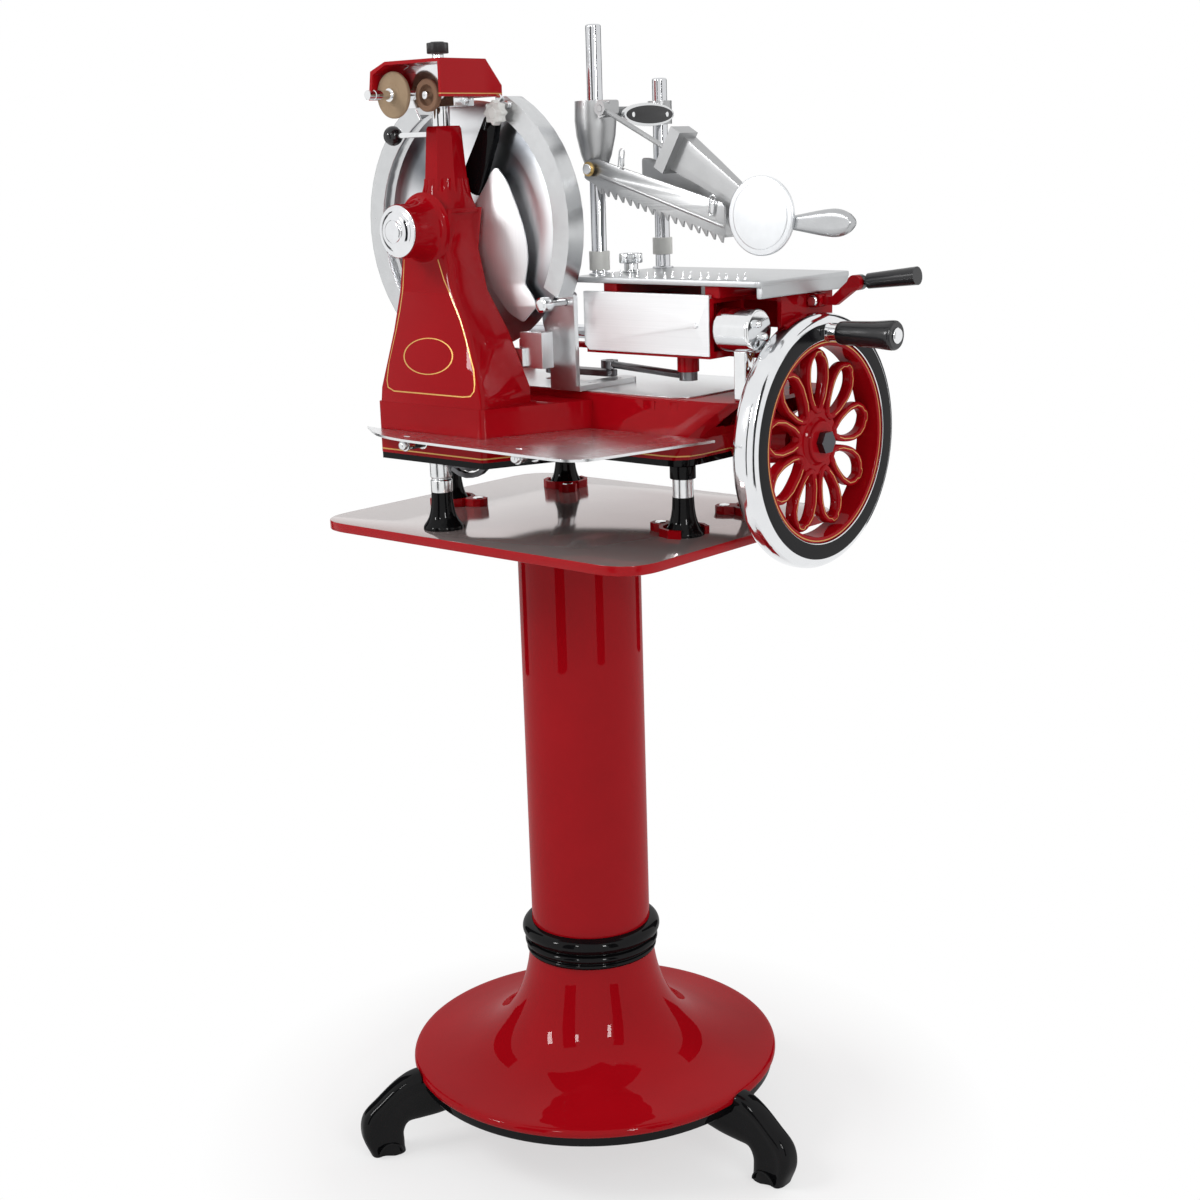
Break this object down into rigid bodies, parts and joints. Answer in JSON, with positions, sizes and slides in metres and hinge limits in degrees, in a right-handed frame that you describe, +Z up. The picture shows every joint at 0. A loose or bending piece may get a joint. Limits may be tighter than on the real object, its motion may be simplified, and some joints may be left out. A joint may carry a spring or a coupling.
{
  "type": "hand-cranked food slicer",
  "caption": "Pedestal flywheel slicer: a hand wheel turns a round blade and drives a carriage with a toothed meat press on a red column with cast legs.",
  "frame": {"origin": "middle of the footprint, at the floor", "axes": "+X along the flywheel's axis towards the flywheel, +Y from the blade's face to the back, +Z up"},
  "size_m": [0.703, 0.5772, 1.4275],
  "materials": {
    "red_paint": "deep gloss enamel",
    "black_paint": "gloss enamel",
    "black_plastic": "moulded, glossy",
    "white_plastic": "moulded, glossy",
    "chrome": "polished plating",
    "polished_steel": "polished and hardened",
    "satin_steel": "fine brushed",
    "cast_aluminium": "polished casting",
    "dark_steel": "oiled",
    "tan_stone": "abrasive stone",
    "brown_stone": "abrasive stone"
  },
  "bodies": {
    "stand": {"leg_frame": "black_paint", "base_dome": "red_paint", "column_collar": "black_paint", "column_tube": "red_paint", "top_plate": "red_paint", "machine_foot_1": "black_paint", "machine_foot_2": "black_paint", "machine_foot_3": "black_paint", "machine_foot_4": "black_paint", "machine_foot_5": "black_paint", "foot_clip_1": "red_paint", "foot_clip_2": "red_paint", "foot_clip_3": "red_paint", "foot_clip_4": "red_paint", "machine_body": "red_paint", "plinth_frame": "black_paint", "arm_cover_plate": "satin_steel", "drive_chain": "dark_steel", "blade_cap": "chrome", "guard_ring_right": "cast_aluminium", "guard_ring_left": "cast_aluminium", "guard_bracket": "satin_steel", "deflector": "satin_steel", "deflector_arm": "black_paint", "drip_cup": "cast_aluminium", "guide_bar": "chrome", "rear_frame": "red_paint", "guide_support_right": "chrome"},
    "wheel": {"flywheel": "red_paint", "flywheel_rim": "chrome", "flywheel_shaft": "chrome", "grip_pin": "chrome"},
    "turning_grip": {"wheel_grip": "black_plastic"},
    "cross_shaft": {"drive_shaft": "dark_steel"},
    "crank_body": {"crank": "dark_steel"},
    "cutter": {"blade_shaft": "satin_steel", "blade": "polished_steel"},
    "carriage_body": {"carriage": "red_paint", "carriage_sheet": "satin_steel"},
    "rod_body": {"connecting_rod": "dark_steel"},
    "table_body": {"table": "cast_aluminium", "post_left": "chrome", "post_right": "chrome"},
    "knob_body": {"table_knob": "satin_steel"},
    "bracket_body": {"press_bracket": "cast_aluminium"},
    "arm_body": {"press_arm": "cast_aluminium", "press_disc": "polished_steel"},
    "plate_body": {"press_plate": "cast_aluminium"},
    "paddle_body": {"release_paddle": "black_plastic"},
    "lever_body": {"fold_lever": "red_paint"},
    "lever_grip_body": {"fold_grip": "black_plastic"},
    "stem_body": {"sharpener_stem": "chrome"},
    "hood_body": {"sharpener_hood": "red_paint"},
    "hood_knob_body": {"sharpener_knob": "black_plastic"},
    "grinding_body": {"grinding_wheel": "tan_stone"},
    "honing_body": {"honing_cup": "brown_stone"},
    "clamp_lever_body": {"clamp_ball_lever": "black_plastic"},
    "star_knob_body": {"star_knob": "white_plastic"},
    "thumb_screw_body": {"thumb_screw": "chrome"},
    "tray_body": {"receiving_tray": "satin_steel"}
  },
  "joints": [
    {"name": "flywheel_turn", "type": "hinge", "parent": "stand", "child": "wheel", "pos_m": [0.25, 0.07, 0.943], "axis": [1, 0, 0], "continuous": true},
    {"name": "grip_turn", "type": "hinge", "parent": "wheel", "child": "turning_grip", "pos_m": [0.31, 0.07, 1.071], "axis": [1, 0, 0], "continuous": true},
    {"name": "cross_shaft_turn", "type": "hinge", "parent": "stand", "child": "cross_shaft", "pos_m": [-0.1437, 0, 0.943], "axis": [0, 1, 0], "continuous": true},
    {"name": "crank_turn", "type": "hinge", "parent": "stand", "child": "crank_body", "pos_m": [-0.1437, 0.04, 1], "axis": [0, 0, 1], "continuous": true},
    {"name": "blade_turn", "type": "hinge", "parent": "stand", "child": "cutter", "pos_m": [-0.1807, -0.06, 1.196], "axis": [0, 1, 0], "continuous": true},
    {"name": "carriage_slide", "type": "slide", "parent": "stand", "child": "carriage_body", "axis": [1, 0, 0], "range_m": [-0.18, 0]},
    {"name": "rod_swing", "type": "hinge", "parent": "carriage_body", "child": "rod_body", "pos_m": [0.1123, -0.012, 1.022], "axis": [0, 0, 1], "range_deg": [-37, 21]},
    {"name": "table_slide", "type": "slide", "parent": "carriage_body", "child": "table_body", "axis": [0, 1, 0], "range_m": [0, 0.15]},
    {"name": "table_knob_turn", "type": "hinge", "parent": "table_body", "child": "knob_body", "pos_m": [-0.0247, 0.052, 1.145], "axis": [0, 0, 1], "continuous": true},
    {"name": "press_lift", "type": "slide", "parent": "table_body", "child": "bracket_body", "axis": [0, 0, 1], "range_m": [-0.022, 0.025]},
    {"name": "press_arm_swing", "type": "hinge", "parent": "bracket_body", "child": "arm_body", "pos_m": [-0.0067, 0, 1.33], "axis": [0, -1, 0], "range_deg": [0, 40]},
    {"name": "press_plate_swing", "type": "hinge", "parent": "bracket_body", "child": "plate_body", "pos_m": [-0.0307, 0, 1.261], "axis": [0, -1, 0], "range_deg": [0, 24]},
    {"name": "paddle_press", "type": "hinge", "parent": "bracket_body", "child": "paddle_body", "pos_m": [-0.0221, 0.084, 1.3092], "axis": [0, 1, 0], "range_deg": [0, 20], "stiffness_Nm_per_rad": 0.6, "springref_deg": -5.73},
    {"name": "fold_lever_swing", "type": "hinge", "parent": "carriage_body", "child": "lever_body", "pos_m": [0.2243, 0.096, 1.105], "axis": [0, -1, 0], "range_deg": [-5, 25]},
    {"name": "fold_grip_swing", "type": "hinge", "parent": "lever_body", "child": "lever_grip_body", "pos_m": [0.2733, 0.104, 1.126], "axis": [0, -1, 0], "range_deg": [0, 90]},
    {"name": "sharpener_lift", "type": "slide", "parent": "stand", "child": "stem_body", "axis": [0, 0, 1], "range_m": [0, 0.03]},
    {"name": "sharpener_swivel", "type": "hinge", "parent": "stem_body", "child": "hood_body", "pos_m": [-0.1807, -0.11, 1.36], "axis": [0, 0, -1], "range_deg": [0, 60]},
    {"name": "sharpener_knob_turn", "type": "hinge", "parent": "hood_body", "child": "hood_knob_body", "pos_m": [-0.1807, -0.11, 1.4], "axis": [0, 0, 1], "continuous": true},
    {"name": "grinding_turn", "type": "hinge", "parent": "hood_body", "child": "grinding_body", "pos_m": [-0.2097, -0.158, 1.353], "axis": [0, 1, 0], "continuous": true},
    {"name": "honing_turn", "type": "hinge", "parent": "hood_body", "child": "honing_body", "pos_m": [-0.1637, -0.145, 1.351], "axis": [0, 1, 0], "continuous": true},
    {"name": "clamp_lever_turn", "type": "hinge", "parent": "stand", "child": "clamp_lever_body", "pos_m": [-0.22, -0.11, 1.307], "axis": [1, 0, 0], "continuous": true},
    {"name": "star_knob_turn", "type": "hinge", "parent": "stand", "child": "star_knob_body", "pos_m": [-0.1087, -0.09, 1.329], "axis": [0, 1, 0], "continuous": true},
    {"name": "thumb_screw_turn", "type": "hinge", "parent": "stand", "child": "thumb_screw_body", "pos_m": [-0.0437, -0.09, 1.106], "axis": [0, 1, 0], "continuous": true},
    {"name": "tray_pull", "type": "slide", "parent": "stand", "child": "tray_body", "axis": [0, -1, 0], "range_m": [0, 0.03]}
  ],
  "couplings": [
    {"joint": "cross_shaft_turn", "follows": "flywheel_turn", "ratio": -1},
    {"joint": "crank_turn", "follows": "flywheel_turn", "ratio": -1},
    {"joint": "blade_turn", "follows": "flywheel_turn", "ratio": -3.2143},
    {"joint": "press_plate_swing", "follows": "press_arm_swing", "ratio": 0.6}
  ]
}
